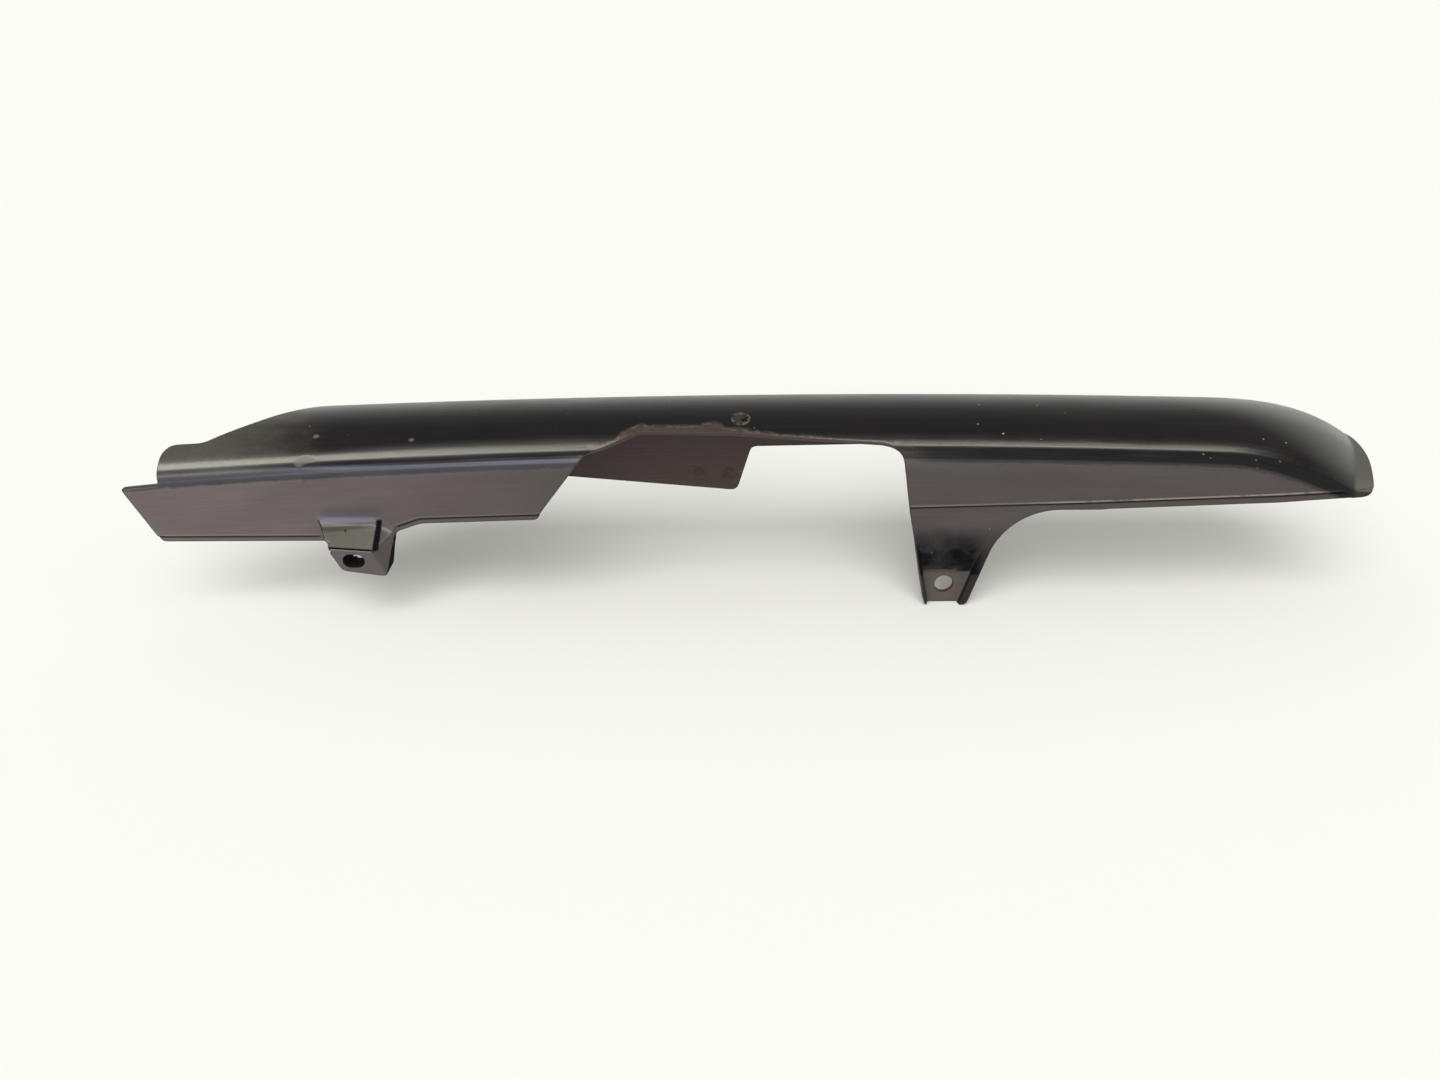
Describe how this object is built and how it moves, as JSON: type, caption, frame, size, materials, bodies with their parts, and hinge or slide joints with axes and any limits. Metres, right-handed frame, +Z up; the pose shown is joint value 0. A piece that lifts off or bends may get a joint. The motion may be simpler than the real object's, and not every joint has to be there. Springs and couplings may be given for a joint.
{
  "type": "motorcycle chain guard",
  "caption": "Long moulded guard over a motorcycle's drive chain: arched roof, stepped side skirt with an opening, a box bracket with a slot and a tapered bolt tab.",
  "frame": {"origin": "centre of the rear bolt hole, on the outer face of its pad", "axes": "as fitted on a level motorcycle: +X along the guard toward its rear lip, -Y out of the bolt hole toward the bolt's head, +Z up"},
  "size_m": [0.5153, 0.0688, 0.0841],
  "materials": {
    "black_plastic": "satin moulded black plastic, dusty, lightly scratched"
  },
  "bodies": {
    "root": {"chain_guard": "black_plastic"}
  },
  "joints": []
}
